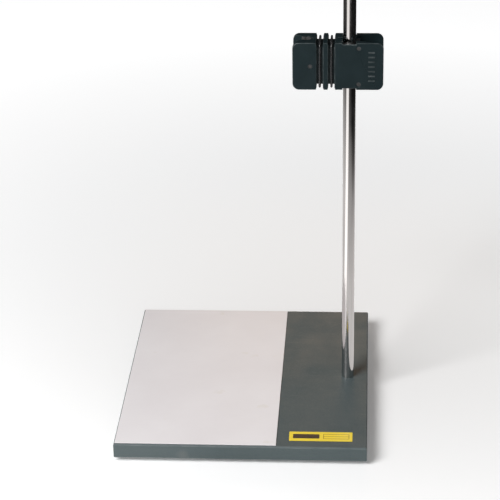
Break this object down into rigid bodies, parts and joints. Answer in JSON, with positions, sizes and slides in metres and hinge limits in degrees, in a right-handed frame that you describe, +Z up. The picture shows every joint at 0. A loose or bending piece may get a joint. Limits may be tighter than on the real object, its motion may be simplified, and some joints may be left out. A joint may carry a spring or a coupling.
{
  "type": "burette stand",
  "caption": "Plate base with a white working panel, an upright round rod near one edge and a sprung two-shell clamp that slides on the rod and grips a burette.",
  "frame": {"origin": "on the bench, at the centre of the stand's outline", "axes": "+X to the right along the front edge, towards the rod's side; +Y from front to back; +Z up along the rod"},
  "size_m": [0.2516, 0.28, 0.619],
  "materials": {
    "base_grey": "satin moulded grey with a fine grain",
    "panel_white": "smooth satin white sheet",
    "label_yellow": "yellow foil printed with a dark bar and an empty outlined field",
    "foot_rubber": "matt black rubber",
    "zinc_steel": "zinc-plated steel",
    "rod_steel": "ground and polished stainless steel",
    "shell_black": "satin moulded black with a fine grain",
    "ring_rubber": "smooth black rubber with a soft gloss",
    "liner_rubber": "matt black rubber"
  },
  "bodies": {
    "base": {"base_plate": "base_grey", "white_panel": "panel_white", "label_plate": "label_yellow", "foot_front_left": "foot_rubber", "foot_front_right": "foot_rubber", "foot_back_left": "foot_rubber", "foot_back_right": "foot_rubber", "foot_screws": "zinc_steel", "rod_nut": "zinc_steel", "rod_washer": "zinc_steel", "rod_spring_washer": "zinc_steel"},
    "rod": {"rod": "rod_steel"},
    "clamp_back": {"back_shell": "shell_black", "burette_pad_back": "liner_rubber", "rod_pad_back": "liner_rubber", "ring_left": "ring_rubber", "ring_right": "ring_rubber"},
    "clamp_front": {"front_shell": "shell_black", "burette_pad_front": "liner_rubber", "rod_pad_front": "liner_rubber"}
  },
  "joints": [
    {"name": "clamp_swing", "type": "hinge", "parent": "base", "child": "rod", "pos_m": [0.09425, 0, 0.019], "axis": [0, 0, 1], "continuous": true},
    {"name": "clamp_height", "type": "slide", "parent": "rod", "child": "clamp_back", "axis": [0, 0, 1], "range_m": [-0.308, 0.242]},
    {"name": "jaw_open", "type": "hinge", "parent": "clamp_back", "child": "clamp_front", "pos_m": [0.09425, 0, 0.3527], "axis": [0, 0, 1], "range_deg": [0, 18], "stiffness_Nm_per_rad": 0.8, "springref_deg": -14.32, "deforming": ["ring_left", "ring_right"]}
  ]
}
